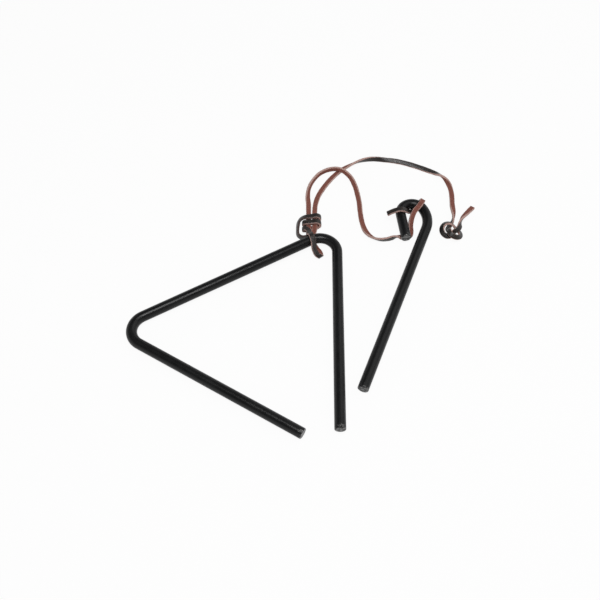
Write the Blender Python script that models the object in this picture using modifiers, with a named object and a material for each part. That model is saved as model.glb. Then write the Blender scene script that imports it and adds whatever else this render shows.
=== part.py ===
"""Dinner triangle: a bent rod triangle, its hooked striker and the flat leather lace that ties them.

The layout's origin is the hang corner, where the axes of the two sides beside the thong would meet.
X runs to the right, Y away from the viewer and Z up from the floor that everything lies on.
"""
import math

import bmesh
import bpy
import numpy as np
from mathutils import Matrix, Vector

MM = 0.001

# Triangle rod
ROD_DIAMETER = 9.525 * MM
SIDE_LENGTH = 223.5 * MM
CORNER_RADIUS = 15.8 * MM
FAR_SIDE_CUT = 34.0 * MM
NEAR_SIDE_CUT = 20.7 * MM
NEAR_SIDE_HEADING = math.radians(-90.69)
CORNER_ANGLE = math.radians(60.0)
END_CHAMFER = 0.7 * MM

# Striker
NECK_START_X = 83.6 * MM
NECK_START_Y = 0.4 * MM
STRIKER_RUN = 180.2 * MM
STRIKER_HEADING = math.radians(-111.7)
NECK_RADIUS = 28.8 * MM
NECK_BEND = math.radians(48.7)
HOOK_RADIUS = 11.35 * MM
HOOK_BEND = math.radians(159.2)
HOOK_LEG = 28.8 * MM

# Leather lace
LACE_WIDTH = 4.8 * MM
LACE_THICKNESS = 2.2 * MM
LACE_GAP = 0.6 * MM
LANE_GAP = 0.9 * MM
SEAT_GAP = 0.3 * MM
FLOOR_GAP = 0.05 * MM

# Loop on the hanging side, and the knot beside it
LOOP_SETBACK = 27.5 * MM
LOOP_SLACK = 0.5 * MM
LOOP_DROOP = 12.5 * MM
LOOP_LEAN = 0.19
KNOT_CENTRE = Vector((-26.2, 8.0)) * MM
FIRST_BAND = 8.2 * MM
SECOND_BAND = 0.8 * MM
SIDE_TURN = 5.2 * MM
SIDE_TURN_DROP = 9.2 * MM

# Overhand knot at the hanger's end
END_KNOT_CENTRE = Vector((108.2, 0.3)) * MM
END_KNOT_HEADING = math.radians(58.0)
END_KNOT_LEAN = math.radians(52.0)
END_KNOT_RING = 5.66 * MM
END_KNOT_ARC = 2.4 * MM
END_KNOT_OPEN = math.radians(22.0)

# Lacing on the striker's hook: where it passes, by the angle turned along the bend
HITCH_FROM_END = 6.0 * MM
HITCH_OVER = math.radians(10.0)
HITCH_UNDER = math.radians(50.0)
HITCH_BAND = math.radians(155.0)
HITCH_TAIL = 13.0 * MM

# Free stretches: x and y in mm from the hang corner, lift off the floor in mm, roll of the grain side
STRIKER_STRAND = [
    (52.5, -6.6, 0.0, 90), (47.3, -8.3, 0.0, 95), (41.6, -8.9, 0.0, 108), (36.3, -7.7, 0.0, 125),
    (31.6, -4.4, 0.0, 145), (27.9, 1.0, 0.0, 165), (25.7, 7.6, 0.0, 180), (24.3, 14.8, 0.0, 192),
    (23.4, 25.0, 0.0, 200), (22.9, 37.2, 0.0, 206), (21.5, 48.4, 0.0, 212), (19.3, 59.5, 0.0, 225),
    (14.6, 70.0, 1.2, 248), (5.8, 76.4, 3.8, 264), (-4.0, 79.0, 1.6, 268), (-13.9, 75.1, 0.2, 268),
    (-21.0, 66.0, 0.0, 262), (-25.3, 56.0, 0.0, 250), (-26.8, 44.0, 0.0, 222), (-26.2, 34.0, 1.2, 190)]
HANGER_STRAND = [
    (-19.6, 33.6, 0.8, 182), (-17.0, 44.8, 0.0, 182), (-12.0, 55.4, 0.0, 184), (-6.2, 64.8, 0.0, 186),
    (0.3, 73.3, 0.0, 190), (7.8, 80.8, 0.0, 200), (16.0, 86.5, 0.0, 222), (24.6, 91.3, 0.0, 246),
    (33.6, 94.1, 0.0, 272), (42.6, 94.5, 0.0, 300), (51.7, 93.5, 0.0, 322), (60.7, 92.3, 0.0, 330),
    (69.4, 89.9, 0.0, 332), (80.7, 85.5, 0.0, 336), (91.6, 80.5, 0.0, 346), (101.0, 75.6, 0.0, 372),
    (107.4, 69.6, 0.0, 430), (111.4, 62.2, 0.0, 485), (113.3, 53.4, 0.0, 520), (113.5, 44.6, 0.0, 535),
    (112.8, 35.0, 0.0, 545), (112.6, 25.0, 0.0, 575), (111.5, 16.5, 0.0, 630)]
END_TAIL = [
    (116.9, 9.0, 4.0, 280), (120.2, 16.0, 2.2, 232), (125.8, 23.8, 0.8, 200), (131.9, 31.2, 0.1, 186)]

ROD_SIDES = 24
CORNER_STEPS = 14
NECK_STEPS = 10
HOOK_STEPS = 20
END_KNOT_STEPS = 30
STRAND_STEP = 5.0 * MM
KNOT_STEP = 1.6 * MM

ROD_RADIUS = ROD_DIAMETER / 2
HALF_LACE = LACE_THICKNESS / 2
LACE_FLOOR = FLOOR_GAP + HALF_LACE
UP = np.array((0.0, 0.0, 1.0))
FLESH_UP = (0.0, 0.0, -1.0)

# Section of the lace: two round edges joined by the flat grain and flesh sides
lace_outline = []
for angle in range(-90, 271, 45):
    turn = math.radians(angle)
    edges = {90: (1, -1), 270: (-1,)}.get(angle, (1,) if angle < 90 else (-1,))
    for side in edges:
        lace_outline.append((side * (LACE_WIDTH - LACE_THICKNESS) / 2 + HALF_LACE * math.cos(turn),
                             HALF_LACE * math.sin(turn)))


def heading(angle):
    """Unit vector in the floor plane."""
    return Vector((math.cos(angle), math.sin(angle)))


def material(name, colour, roughness, metallic=0.0):
    """Principled material with one colour."""
    made = bpy.data.materials.new(name)
    made.use_nodes = True
    shader = made.node_tree.nodes["Principled BSDF"]
    shader.inputs["Base Color"].default_value = (*colour, 1.0)
    shader.inputs["Roughness"].default_value = roughness
    shader.inputs["Metallic"].default_value = metallic
    made.diffuse_color = (*colour, 1.0)
    return made


def empty(name, matrix, parent=None):
    """Named pivot that carries a group of pieces."""
    pivot = bpy.data.objects.new(name, None)
    parts.objects.link(pivot)
    pivot.matrix_world = matrix
    if parent:
        attach(pivot, parent)
    return pivot


def attach(piece, pivot):
    """Parent a piece to a pivot and leave it where it lies."""
    bpy.context.view_layer.update()
    piece.parent = pivot
    piece.matrix_parent_inverse = pivot.matrix_world.inverted()


def curve_object(name, points, finish):
    """Open poly curve with closed ends."""
    curve = bpy.data.curves.new(name, "CURVE")
    curve.dimensions = "3D"
    curve.twist_mode = "Z_UP"
    curve.use_fill_caps = True
    curve.materials.append(finish)
    spline = curve.splines.new("POLY")
    spline.points.add(len(points) - 1)
    for point, place in zip(spline.points, points):
        point.co = (*place, 1.0)
    made = bpy.data.objects.new(name, curve)
    parts.objects.link(made)
    return made


def rod(name, points, finish):
    """Round bar along its axis, cut square with a small chamfer on each end."""
    made = curve_object(name, points, finish)
    made.data.bevel_depth = ROD_RADIUS
    made.data.bevel_resolution = ROD_SIDES // 2 - 2
    weld = made.modifiers.new("close_ends", "WELD")
    weld.merge_threshold = 0.01 * MM
    chamfer = made.modifiers.new("end_chamfer", "BEVEL")
    chamfer.width = END_CHAMFER
    chamfer.segments = 2
    chamfer.limit_method = "ANGLE"
    chamfer.angle_limit = math.radians(60.0)
    return made


def corner_arc(before, corner, after, radius, steps):
    """Points of the bend that rounds a corner between two straight runs."""
    into = (before - corner).normalized()
    out = (after - corner).normalized()
    half = into.angle(out) / 2
    middle = corner + (into + out).normalized() * (radius / math.sin(half))
    first = corner + into * (radius / math.tan(half))
    start = first - middle
    swing = math.pi - 2 * half
    sense = 1.0 if into.cross(out) < 0 else -1.0
    return [middle + Matrix.Rotation(sense * swing * k / steps, 2) @ start for k in range(steps + 1)]


def flat(points):
    """Plan points as points of the rod's own plane."""
    return [Vector((p.x, p.y, 0.0)) for p in points]


def smooth(stations):
    """Dense curve through the stations, by a cubic whose slopes come from each point's neighbours."""
    stations = np.array(stations)
    chord = np.linalg.norm(np.diff(stations[:, :3], axis=0), axis=1)
    knots = np.concatenate(([0.0], np.cumsum(chord)))
    slopes = np.gradient(stations, knots, axis=0)
    dense = []
    for k, span in enumerate(chord):
        t = np.linspace(0.0, 1.0, 40, endpoint=False)[:, None]
        a, b = stations[k], stations[k + 1]
        rise = (2 * t ** 3 - 3 * t ** 2 + 1) * a + (3 * t ** 2 - 2 * t ** 3) * b
        bend = (t ** 3 - 2 * t ** 2 + t) * slopes[k] + (t ** 3 - t ** 2) * slopes[k + 1]
        dense.append(rise + bend * span)
    dense.append(stations[-1:])
    return np.concatenate(dense)


def unit(vectors):
    """Vectors of length one."""
    return vectors / np.linalg.norm(vectors, axis=-1, keepdims=True)


def directions(points):
    """Direction of travel at each point, halfway between its two runs."""
    runs = unit(np.diff(points, axis=0))
    return unit(np.concatenate((runs[:1], runs[:-1] + runs[1:], runs[-1:])))


def lace_tilts(ahead, grain):
    """Angle that turns the lace's width from upright until its grain side faces the given way."""
    rise = unit(UP - ahead * ahead[:, 2:])
    left = np.cross(rise, ahead)
    roll = np.arctan2((grain * left).sum(1), (grain * rise).sum(1))
    return math.pi / 2 - roll


def lace(name, points, ahead, grain, finish):
    """Flat lace with round edges along its route."""
    made = curve_object(name, [Vector(p) for p in points], finish)
    made.data.extrude = (LACE_WIDTH - LACE_THICKNESS) / 2
    made.data.bevel_depth = HALF_LACE
    made.data.bevel_resolution = 1
    for point, tilt in zip(made.data.splines[0].points, lace_tilts(ahead, grain)):
        point.tilt = tilt
    return made


def band(name, points, ahead, grain, finish):
    """The same flat lace where it winds too steeply for a curve's own upright, ring by ring."""
    across = unit(np.cross(ahead, grain))
    face = np.cross(across, ahead)
    shell = bmesh.new()
    rings = []
    for place, wide, thick in zip(points, across, face):
        ring = [place + wide * w + thick * h for w, h in lace_outline]
        rings.append([shell.verts.new(corner) for corner in ring])
    for ring, following in zip(rings, rings[1:]):
        for k in range(len(ring)):
            shell.faces.new((ring[k - 1], ring[k], following[k], following[k - 1]))
    shell.faces.new(rings[0])
    shell.faces.new(rings[-1])
    bmesh.ops.recalc_face_normals(shell, faces=shell.faces)
    mesh = bpy.data.meshes.new(name)
    shell.to_mesh(mesh)
    shell.free()
    mesh.materials.append(finish)
    made = bpy.data.objects.new(name, mesh)
    parts.objects.link(made)
    return made


def rolled(route):
    """Stations of a free stretch: plan place, height and roll of the grain side from straight up."""
    places = np.array([(x * MM, y * MM, z) for x, y, z, _ in route])
    ahead = directions(places)
    rise = unit(UP - ahead * ahead[:, 2:])
    left = np.cross(rise, ahead)
    roll = np.radians([r for *_, r in route])[:, None]
    return np.hstack((places, np.cos(roll) * rise + np.sin(roll) * left))


for old in list(bpy.data.objects):
    bpy.data.objects.remove(old)

parts = bpy.data.collections.new("dinner_triangle")
bpy.context.scene.collection.children.link(parts)
triangle_paint = material("triangle_paint", (0.012, 0.013, 0.014), 0.32)
striker_paint = material("striker_paint", (0.012, 0.013, 0.014), 0.34)
leather = material("lace_leather", (0.095, 0.038, 0.022), 0.5)

root = empty("dinner_triangle", Matrix.Identity(4))

# Triangle: three sides, two bends and an open corner. The lace under the hanging side lifts it a little.
hang_corner = Vector((0.0, 0.0))
near_way = heading(NEAR_SIDE_HEADING)
hang_way = heading(NEAR_SIDE_HEADING - CORNER_ANGLE)
far_corner = hang_way * SIDE_LENGTH
open_corner = near_way * SIDE_LENGTH
far_way = (open_corner - far_corner).normalized()
far_end = far_corner + far_way * (SIDE_LENGTH - FAR_SIDE_CUT)
near_end = near_way * (SIDE_LENGTH - NEAR_SIDE_CUT)
triangle_axis = [far_end]
triangle_axis += corner_arc(far_end, far_corner, hang_corner, CORNER_RADIUS, CORNER_STEPS)
triangle_axis += corner_arc(far_corner, hang_corner, near_end, CORNER_RADIUS, CORNER_STEPS)
triangle_axis += [near_end]

bar_height = LACE_FLOOR + HALF_LACE + LOOP_SLACK + ROD_RADIUS
loop_point = hang_way * LOOP_SETBACK
loop_from_far_side = (SIDE_LENGTH - LOOP_SETBACK) * math.sin(CORNER_ANGLE)
triangle_tilt = math.asin((bar_height - ROD_RADIUS) / loop_from_far_side)
hinge_line = Vector((*far_corner, ROD_RADIUS))
triangle_place = (Matrix.Translation(hinge_line)
                  @ Matrix.Rotation(triangle_tilt, 4, Vector((*far_way, 0.0)))
                  @ Matrix.Translation(Vector((*-far_corner, 0.0))))
bar_frame = Matrix.Translation(Vector((*loop_point, 0.0))) @ Matrix.Rotation(
    NEAR_SIDE_HEADING - CORNER_ANGLE + math.pi, 4, "Z")
triangle_pivot = empty("triangle_pivot", triangle_place @ bar_frame, root)
triangle_rod = rod("triangle_rod", flat(triangle_axis), triangle_paint)
triangle_rod.data.transform(bar_frame.inverted())
triangle_rod.matrix_world = triangle_place @ bar_frame
attach(triangle_rod, triangle_pivot)

# Striker: a straight rod with its top end turned back into a hook. The lace under the hook lifts that end.
striker_way = heading(STRIKER_HEADING)
outward = heading(STRIKER_HEADING + math.pi / 2)
neck_start = Vector((NECK_START_X, NECK_START_Y))
tip = neck_start + striker_way * STRIKER_RUN
neck_centre = neck_start - outward * NECK_RADIUS
neck_out = STRIKER_HEADING + math.pi / 2
hook_out = neck_out + NECK_BEND
hook_centre = neck_centre + heading(hook_out) * (NECK_RADIUS - HOOK_RADIUS)


def on_hook(turn):
    """Plan point on the hook's bend, by the angle turned from where the neck ends."""
    return hook_centre + heading(hook_out + turn) * HOOK_RADIUS


leg_way = heading(hook_out + HOOK_BEND + math.pi / 2)
leg_end = on_hook(HOOK_BEND) + leg_way * HOOK_LEG
leg_pass = leg_end - leg_way * HITCH_FROM_END
leg_height = LACE_FLOOR + HALF_LACE + SEAT_GAP + ROD_RADIUS
striker_tilt = math.asin((leg_height - ROD_RADIUS) / (leg_pass - tip).dot(-striker_way))


def striker_height(place):
    """Height of the striker's axis plane above the floor."""
    return ROD_RADIUS + (place - tip).dot(-striker_way) * math.tan(striker_tilt)


striker_axis = [tip]
for k in range(NECK_STEPS):
    striker_axis.append(neck_centre + heading(neck_out + NECK_BEND * k / NECK_STEPS) * NECK_RADIUS)
striker_axis += [on_hook(HOOK_BEND * k / HOOK_STEPS) for k in range(HOOK_STEPS + 1)]
striker_axis += [leg_end]
striker_place = (Matrix.Translation(Vector((*tip, ROD_RADIUS)))
                 @ Matrix.Rotation(striker_tilt, 4, Vector((*outward, 0.0)))
                 @ Matrix.Translation(Vector((*-tip, 0.0))))

# The striker swings where its hitch meets the free lace, about the lace's side away from the viewer.
flex_point = Vector(STRIKER_STRAND[0][:2]) * MM + Vector((0.0, HALF_LACE))
striker_pivot = empty("striker_pivot", Matrix.Translation(Vector((*flex_point, 0.0))), root)
striker_rod = rod("striker_rod", flat(striker_axis), striker_paint)
striker_rod.data.transform(Matrix.Translation(Vector((*-flex_point, 0.0))))
striker_rod.matrix_world = striker_place @ Matrix.Translation(Vector((*flex_point, 0.0)))
attach(striker_rod, striker_pivot)


def station(place, height, grain):
    """One place on the lace's middle line, with the way its grain side faces."""
    return (place[0], place[1], height, *grain)


def round_rod(axis, height, side, angle, reach, face):
    """Place on a turn about a rod, by the angle up from its side, with the grain facing out or in."""
    out = side * math.cos(angle)
    rise = math.sin(angle)
    return station(axis + out * reach, height + rise * reach, (out.x * face, out.y * face, rise * face))


def rest_height(grain):
    """Height of the middle line where the lace lies on the floor with its grain side facing this way."""
    upright = math.hypot(grain[0], grain[1]) / math.hypot(*grain)
    return FLOOR_GAP + HALF_LACE + upright * (LACE_WIDTH - LACE_THICKNESS) / 2


def free_stretch(route):
    """Stations of a stretch that lies on the floor, lifted where it passes over something."""
    made = []
    for (_, _, lift, _), row in zip(route, rolled([(x, y, 0.0, r) for x, y, _, r in route])):
        row[2] = rest_height(row[3:]) + lift * MM
        made.append(tuple(row))
    return made


# Striker hitch, from its cut tail: over the leg, under the bend, back over it and down under the leg.
hook_reach = ROD_RADIUS + SEAT_GAP + HALF_LACE
band_axis = on_hook(HITCH_BAND)
band_side = (band_axis - hook_centre).normalized()
band_height = striker_height(band_axis)
tail_way = heading(math.radians(189.0))
hitch = []
for share, drop in ((1.0, 4.2), (0.75, 2.4), (0.5, 1.0)):
    place = band_axis + tail_way * (HITCH_TAIL * share)
    hitch.append(station(place, band_height + hook_reach - drop * MM, (-0.25 * share, 0.0, 1.0)))
for angle in (80, 105, 130):
    hitch.append(round_rod(band_axis, band_height, band_side, math.radians(angle), hook_reach, 1))
under_axis = on_hook(HITCH_UNDER)
under_side = (under_axis - hook_centre).normalized()
inside = under_axis - under_side * (ROD_RADIUS + LACE_WIDTH / 2)
last = Vector(hitch[-1][:2])
hitch.append(station(last.lerp(inside, 0.45), band_height + 0.5 * MM, (0.7, 0.1, 0.7)))
wrap_angles = (-120, -90, -60, -30, 0, 30, 60, 90, 118)
for k, angle in enumerate(wrap_angles):
    turn = HITCH_UNDER + (HITCH_OVER - HITCH_UNDER) * k / (len(wrap_angles) - 1)
    axis = on_hook(turn)
    side = (axis - hook_centre).normalized()
    hitch.append(round_rod(axis, striker_height(axis), side, math.radians(angle), hook_reach, -1))
leg_side = Vector((-leg_way.y, leg_way.x))
for along, aside, height, grain in (
        (22.0, 12.9, 11.4, (-0.1, 0.5, -0.85)), (15.5, 9.0, 8.2, (-0.35, 0.4, -0.85)),
        (9.5, 7.3, 5.2, (-0.5, 0.3, -0.8)), (4.5, 6.9, 2.9, (-0.35, 0.2, -0.9)),
        (1.2, 5.6, 1.5, (0.0, 0.1, -1.0))):
    place = leg_pass - leg_way * (along * MM) + leg_side * (aside * MM)
    hitch.append(station(place, height * MM, grain))
for aside in (2.6, 0.0, -2.6):
    hitch.append(station(leg_pass + leg_side * (aside * MM), LACE_FLOOR, FLESH_UP))
turning = (0.0, -0.75, -0.66)
hitch.append(station(leg_pass.lerp(flex_point, 0.62), rest_height(turning), turning))

# Knot beside the bar: the strand makes a side turn on edge, then two wraps round both strands, and leaves as
# the loop. The loop's other end goes straight through under the wraps and leaves as the hanger.
layer = LACE_THICKNESS + LACE_GAP
lane = LACE_WIDTH + LANE_GAP
lane_height = LACE_FLOOR + layer
top_height = lane_height + layer
left_edge = -LACE_WIDTH / 2
right_edge = lane + LACE_WIDTH / 2


def in_knot(x, y, height, grain=(0.0, 0.0, 1.0)):
    """Place in the knot, from where the strand goes under the wraps."""
    return station(KNOT_CENTRE + Vector((x, y)), height, grain)


def on_edge(x, y, side, lean, lift):
    """Place where the lace leans outwards to a side, with its grain down at no lean and up at half a turn."""
    out = heading(math.radians(side)) * math.sin(math.radians(lean))
    grain = (out.x, out.y, -math.cos(math.radians(lean)))
    return in_knot(x, y, rest_height(grain) + lift * MM, grain)


def knot_edge(x, y_from, y_to, start, end):
    """Turn round one edge of the knot, out of the top or the underside."""
    made = []
    for share in (0.0, 0.25, 0.5, 0.75, 1.0):
        way = heading(math.radians(start + (end - start) * share))
        y = y_from + (y_to - y_from) * share
        made.append(in_knot(x + way.x * layer, y, lane_height + way.y * layer, (way.x, 0.0, way.y)))
    return made


def under_pass(y_from, y_to):
    """Places below both strands, from the right edge to the left one."""
    start = Vector((right_edge, y_from))
    end = Vector((left_edge, y_to))
    return [in_knot(*start.lerp(end, share), LACE_FLOOR, FLESH_UP) for share in (0.2, 0.5, 0.8)]


upper = [in_knot(0.0, y * MM, lane_height, FLESH_UP) for y in (19.0, 12.0, 4.0, -2.0, -6.8)]
for side, lean, lift in ((0, 22, 1.95), (-30, 52, 0.9), (-60, 78, 0.2), (-90, 90, 0.0), (-120, 94, 0.0),
                         (-150, 98, 0.0), (-180, 104, 0.0)):
    place = heading(math.radians(side)) * SIDE_TURN
    upper.append(on_edge(place.x - SIDE_TURN, place.y - SIDE_TURN_DROP, side, lean, lift))
for right, below, side, lean, lift in ((0.0, 13.2, 180, 108, 0.2), (0.3, 9.2, 175, 116, 1.0),
                                       (1.2, 5.4, 150, 126, 2.3), (3.8, 2.5, 120, 146, 3.9),
                                       (7.8, 1.2, 100, 170, 5.2)):
    upper.append(on_edge(right * MM - 2 * SIDE_TURN, FIRST_BAND - below * MM, side, lean, lift))
upper.append(in_knot(lane / 2, FIRST_BAND - 0.4 * MM, top_height))
upper += knot_edge(right_edge, FIRST_BAND + 0.4 * MM, FIRST_BAND - 0.9 * MM, 90, -90)
upper += under_pass(FIRST_BAND - 1.2 * MM, SECOND_BAND + 1.4 * MM)
upper += knot_edge(left_edge, SECOND_BAND + 1.1 * MM, SECOND_BAND - 0.3 * MM, 270, 90)
upper.append(in_knot(lane / 2, SECOND_BAND + 0.2 * MM, top_height))
upper += knot_edge(right_edge, SECOND_BAND + 0.7 * MM, SECOND_BAND - 1.4 * MM, 90, -90)
upper += under_pass(SECOND_BAND - 1.7 * MM, SECOND_BAND - 5.0 * MM)
upper += knot_edge(left_edge, SECOND_BAND - 5.2 * MM, SECOND_BAND - 7.8 * MM, 270, 90)
upper.append(in_knot(-1.0 * MM, -8.6 * MM, top_height + 0.3 * MM))
upper.append(in_knot(-0.1 * MM, -11.0 * MM, top_height + 0.8 * MM))
lower = []
for x, y, share in ((0.58, -11.6, 0.3), (0.85, -8.6, 0.7), (1.0, -5.0, 0.97), (1.0, -1.0, 1.0),
                    (1.0, 5.0, 1.0), (1.0, 12.0, 1.0), (1.05, 18.0, 1.0)):
    lower.append(in_knot(lane * x, y * MM, LACE_FLOOR + layer * share, FLESH_UP))

# Loop round the bar: over the top, down to a slack fold inside the triangle and back under the bar.
along_bar = -hang_way
across_bar = Vector((-along_bar.y, along_bar.x))
loop_reach = ROD_RADIUS + LOOP_SLACK + HALF_LACE


def in_loop(along, across, height, grain):
    """Place in the loop, from the bar's axis, with the grain side facing the given way out."""
    place = loop_point + along_bar * (along * MM) + across_bar * across
    face = across_bar * grain[0]
    return station(place, height, (face.x, face.y, grain[1]))


loop = [in_loop(2.0, ROD_RADIUS + 2.7 * MM, bar_height + 1.3 * MM, (0.6, 0.8))]
for angle in (48, 69, 90, 111, 132):
    way = heading(math.radians(angle))
    loop.append(in_loop(0.4 + LOOP_LEAN * loop_reach * way.x / MM, loop_reach * way.x,
                        bar_height + loop_reach * way.y, way))
fold = -(ROD_RADIUS + LOOP_DROOP)
fold_rise = 1.8 * MM
loop.append(in_loop(-3.2, fold * 0.7, bar_height, (-0.6, 0.8)))
for angle, along in ((60, -2.2), (20, -1.0), (-20, 0.2), (-60, 1.0), (-90, 1.4)):
    turn = math.radians(angle)
    loop.append(in_loop(along, fold + fold_rise - fold_rise * 1.1 * math.cos(turn),
                        LACE_FLOOR + fold_rise * (1 + math.sin(turn)), (-math.cos(turn), math.sin(turn))))
for across, along in ((-7.0, 1.8), (0.0, 2.0), (6.0, 2.8)):
    loop.append(in_loop(along, across * MM, LACE_FLOOR, (0.0, -1.0)))

# Overhand knot at the hanger's end: a trefoil whose outer lobe is left open for the strand and its tail.
end_lobe = LACE_WIDTH / 2 + LACE_GAP
end_lift = (LACE_WIDTH + LACE_GAP) / 2


def trefoil(s):
    """Place on the knot: twice round its centre, three times in and out and over and under."""
    reach = END_KNOT_RING + end_lobe * math.cos(3 * s) + END_KNOT_ARC * math.sin(s / 2) ** 8
    side = heading(END_KNOT_HEADING + 2 * s)
    grain = (side.x * math.cos(END_KNOT_LEAN), side.y * math.cos(END_KNOT_LEAN), math.sin(END_KNOT_LEAN))
    height = rest_height(grain) + end_lift * (1 - math.sin(3 * s))
    return station(END_KNOT_CENTRE + side * reach, height, grain)


end_span = 2 * math.pi - 2 * END_KNOT_OPEN
end_knot = [trefoil(END_KNOT_OPEN + end_span * k / END_KNOT_STEPS) for k in range(END_KNOT_STEPS + 1)]
end_knot += free_stretch(END_TAIL)

sections = [
    ("striker_hitch", hitch, KNOT_STEP, band, striker_pivot),
    ("striker_strand", free_stretch(STRIKER_STRAND), STRAND_STEP, lace, root),
    ("bar_knot_upper", upper, KNOT_STEP, band, root),
    ("bar_loop", loop, KNOT_STEP, band, root),
    ("bar_knot_lower", lower, KNOT_STEP, band, root),
    ("hanger_strand", free_stretch(HANGER_STRAND), STRAND_STEP, lace, root),
    ("end_knot", end_knot, KNOT_STEP, band, root)]


def lace_route():
    """The whole lace as one smooth route, cut into its stretches with a small gap at each cut."""
    dense = smooth([row for _, rows, *_ in sections for row in rows])
    dense = np.hstack((dense, unit(np.gradient(dense[:, :3], axis=0))))
    run = np.concatenate(([0.0], np.cumsum(np.linalg.norm(np.diff(dense[:, :3], axis=0), axis=1))))
    firsts = np.cumsum([0] + [len(rows) for _, rows, *_ in sections[:-1]])
    cuts = [run[first * 40] for first in firsts] + [run[-1]]
    for k, (name, _, step, make, pivot) in enumerate(sections):
        start = cuts[k] + (SEAT_GAP / 2 if k else 0.0)
        end = cuts[k + 1] - (SEAT_GAP / 2 if k + 1 < len(sections) else 0.0)
        places = np.linspace(start, end, max(2, round((end - start) / step)) + 1)
        rows = np.array([np.interp(places, run, column) for column in dense.T]).T
        grain = unit(rows[:, 3:6])
        rows[:, 2] = np.maximum(rows[:, 2], [rest_height(g) for g in grain])
        yield name, rows[:, :3], unit(rows[:, 6:]), grain, places, make, pivot


outlines = []
reaches = []
for name, points, ahead, grain, places, make, pivot in lace_route():
    attach(make(name, points, ahead, grain, leather), pivot)
    across = unit(np.cross(ahead, grain))
    face = np.cross(across, ahead)
    for wide, thick in lace_outline:
        outlines.append(points + across * wide + face * thick)
        reaches.append(places)
    print(name, "stations", len(points))
outlines = np.concatenate(outlines)
reaches = np.concatenate(reaches)
least = 1.0
for point, reach in zip(outlines, reaches):
    away = np.abs(reaches - reach) > 3 * LACE_WIDTH
    least = min(least, np.linalg.norm(outlines[away] - point, axis=1).min())
print("lace length mm", round(reaches.max() / MM, 1), "least gap to itself mm", round(least / MM, 2))


def box_of(pieces):
    """Lowest and highest corners of the pieces as they lie."""
    graph = bpy.context.evaluated_depsgraph_get()
    corners = []
    for piece in pieces:
        shown = piece.evaluated_get(graph)
        mesh = shown.to_mesh()
        corners += [shown.matrix_world @ v.co for v in mesh.vertices]
        shown.to_mesh_clear()
    return np.min(corners, axis=0), np.max(corners, axis=0)


# The part's origin is the middle of the two rods' box, on the floor.
bpy.context.view_layer.update()
low, high = box_of([triangle_rod, striker_rod])
root.location = (-(low[0] + high[0]) / 2, -(low[1] + high[1]) / 2, 0.0)
bpy.context.view_layer.update()
print("rods' box mm", np.round((high - low) / MM, 2), "lowest", round(low[2] / MM, 3), "shift", root.location)
for pivot in (triangle_pivot, striker_pivot):
    place = pivot.matrix_world
    print(pivot.name, "at", place.translation, "x axis", place.col[0], "z axis", place.col[2])
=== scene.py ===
"""Dinner triangle: the bent bar triangle, its hooked striker and the leather lace that ties the two.

Places are in metres. The lace's own are given from the hang corner, where the two sides by the lace meet.
"""
import math

import bpy
import numpy as np
from mathutils import Matrix, Vector


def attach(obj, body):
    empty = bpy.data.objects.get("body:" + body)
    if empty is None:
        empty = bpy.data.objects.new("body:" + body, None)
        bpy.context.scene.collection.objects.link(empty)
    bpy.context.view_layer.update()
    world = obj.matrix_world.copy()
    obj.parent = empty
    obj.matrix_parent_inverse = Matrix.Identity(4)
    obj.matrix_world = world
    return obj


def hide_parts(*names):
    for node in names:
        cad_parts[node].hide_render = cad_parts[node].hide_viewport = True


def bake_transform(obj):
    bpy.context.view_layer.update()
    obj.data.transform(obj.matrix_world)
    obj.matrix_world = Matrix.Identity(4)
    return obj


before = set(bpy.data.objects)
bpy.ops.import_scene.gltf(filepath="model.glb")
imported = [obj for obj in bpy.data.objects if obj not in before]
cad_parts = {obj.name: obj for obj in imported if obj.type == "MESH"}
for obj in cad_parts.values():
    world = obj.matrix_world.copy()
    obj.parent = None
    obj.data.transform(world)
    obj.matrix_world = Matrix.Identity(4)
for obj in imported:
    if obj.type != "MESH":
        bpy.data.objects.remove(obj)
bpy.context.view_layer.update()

# Triangle: one length of 9.5 mm round steel bar, bent cold at two corners and left open at the third.
# The ends are sawn square and eased with a file, and the whole bar is sprayed satin black.
MM = 0.001
BAR_RADIUS = 9.525 * MM / 2
BAR_SIDES = 48
STRAIGHT_STEP = 6.0 * MM
BEND_STEP = math.radians(3.0)
END_EASE = 0.7 * MM
WORN_REACH = 7.0 * MM
SIDE_LENGTH = 223.5 * MM
SIDE_BEND = 15.8 * MM
CORNER_ANGLE = math.radians(60.0)
FAR_SIDE_CUT = 34.0 * MM
NEAR_SIDE_CUT = 20.7 * MM
FAR_END = Vector((0.0148115, -0.1185804, 0.0047625))
FAR_CORNER = Vector((-0.1481474, -0.021861, 0.0047625))
HANG_CORNER = Vector((0.046728, 0.0875282, 0.0078984))


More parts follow.
